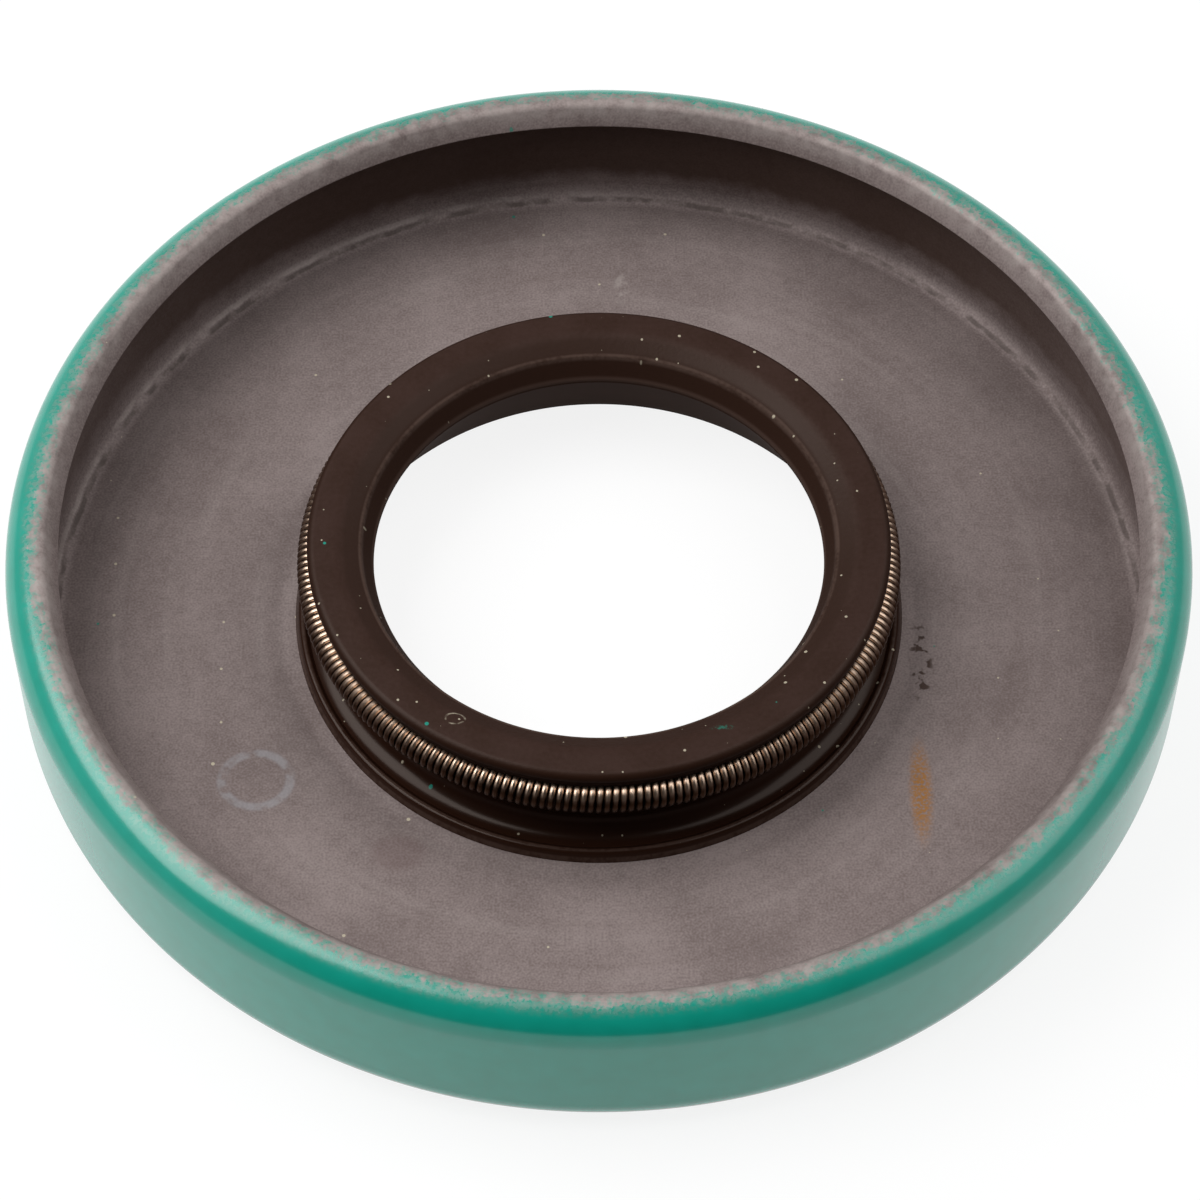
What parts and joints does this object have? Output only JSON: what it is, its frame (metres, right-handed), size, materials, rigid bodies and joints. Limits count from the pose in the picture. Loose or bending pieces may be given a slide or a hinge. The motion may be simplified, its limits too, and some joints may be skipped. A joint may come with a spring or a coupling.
{
  "type": "grease seal",
  "caption": "Round grease seal: a drawn steel cup with an inturned rim and a green sealing coat, a moulded rubber shaft lip and a garter spring in the lip's groove.",
  "frame": {"origin": "centre of the air-side face, on the shaft's axis", "axes": "+Z along the shaft's axis, from the closed air side to the open grease side"},
  "size_m": [0.0476, 0.0476, 0.0074],
  "materials": {
    "case_steel": "matt drawn sheet with fine grain, warm grey, light scuffs and a little rust",
    "green_coat": "thin glossy blue-green lacquer, worn ragged at the rim",
    "lip_rubber": "satin brown-black moulded rubber with dust",
    "spring_steel": "bright drawn wire, warm grey"
  },
  "bodies": {
    "root": {"outer_case": "case_steel", "od_coating": "green_coat", "sealing_element": "lip_rubber", "garter_spring": "spring_steel"}
  },
  "joints": []
}
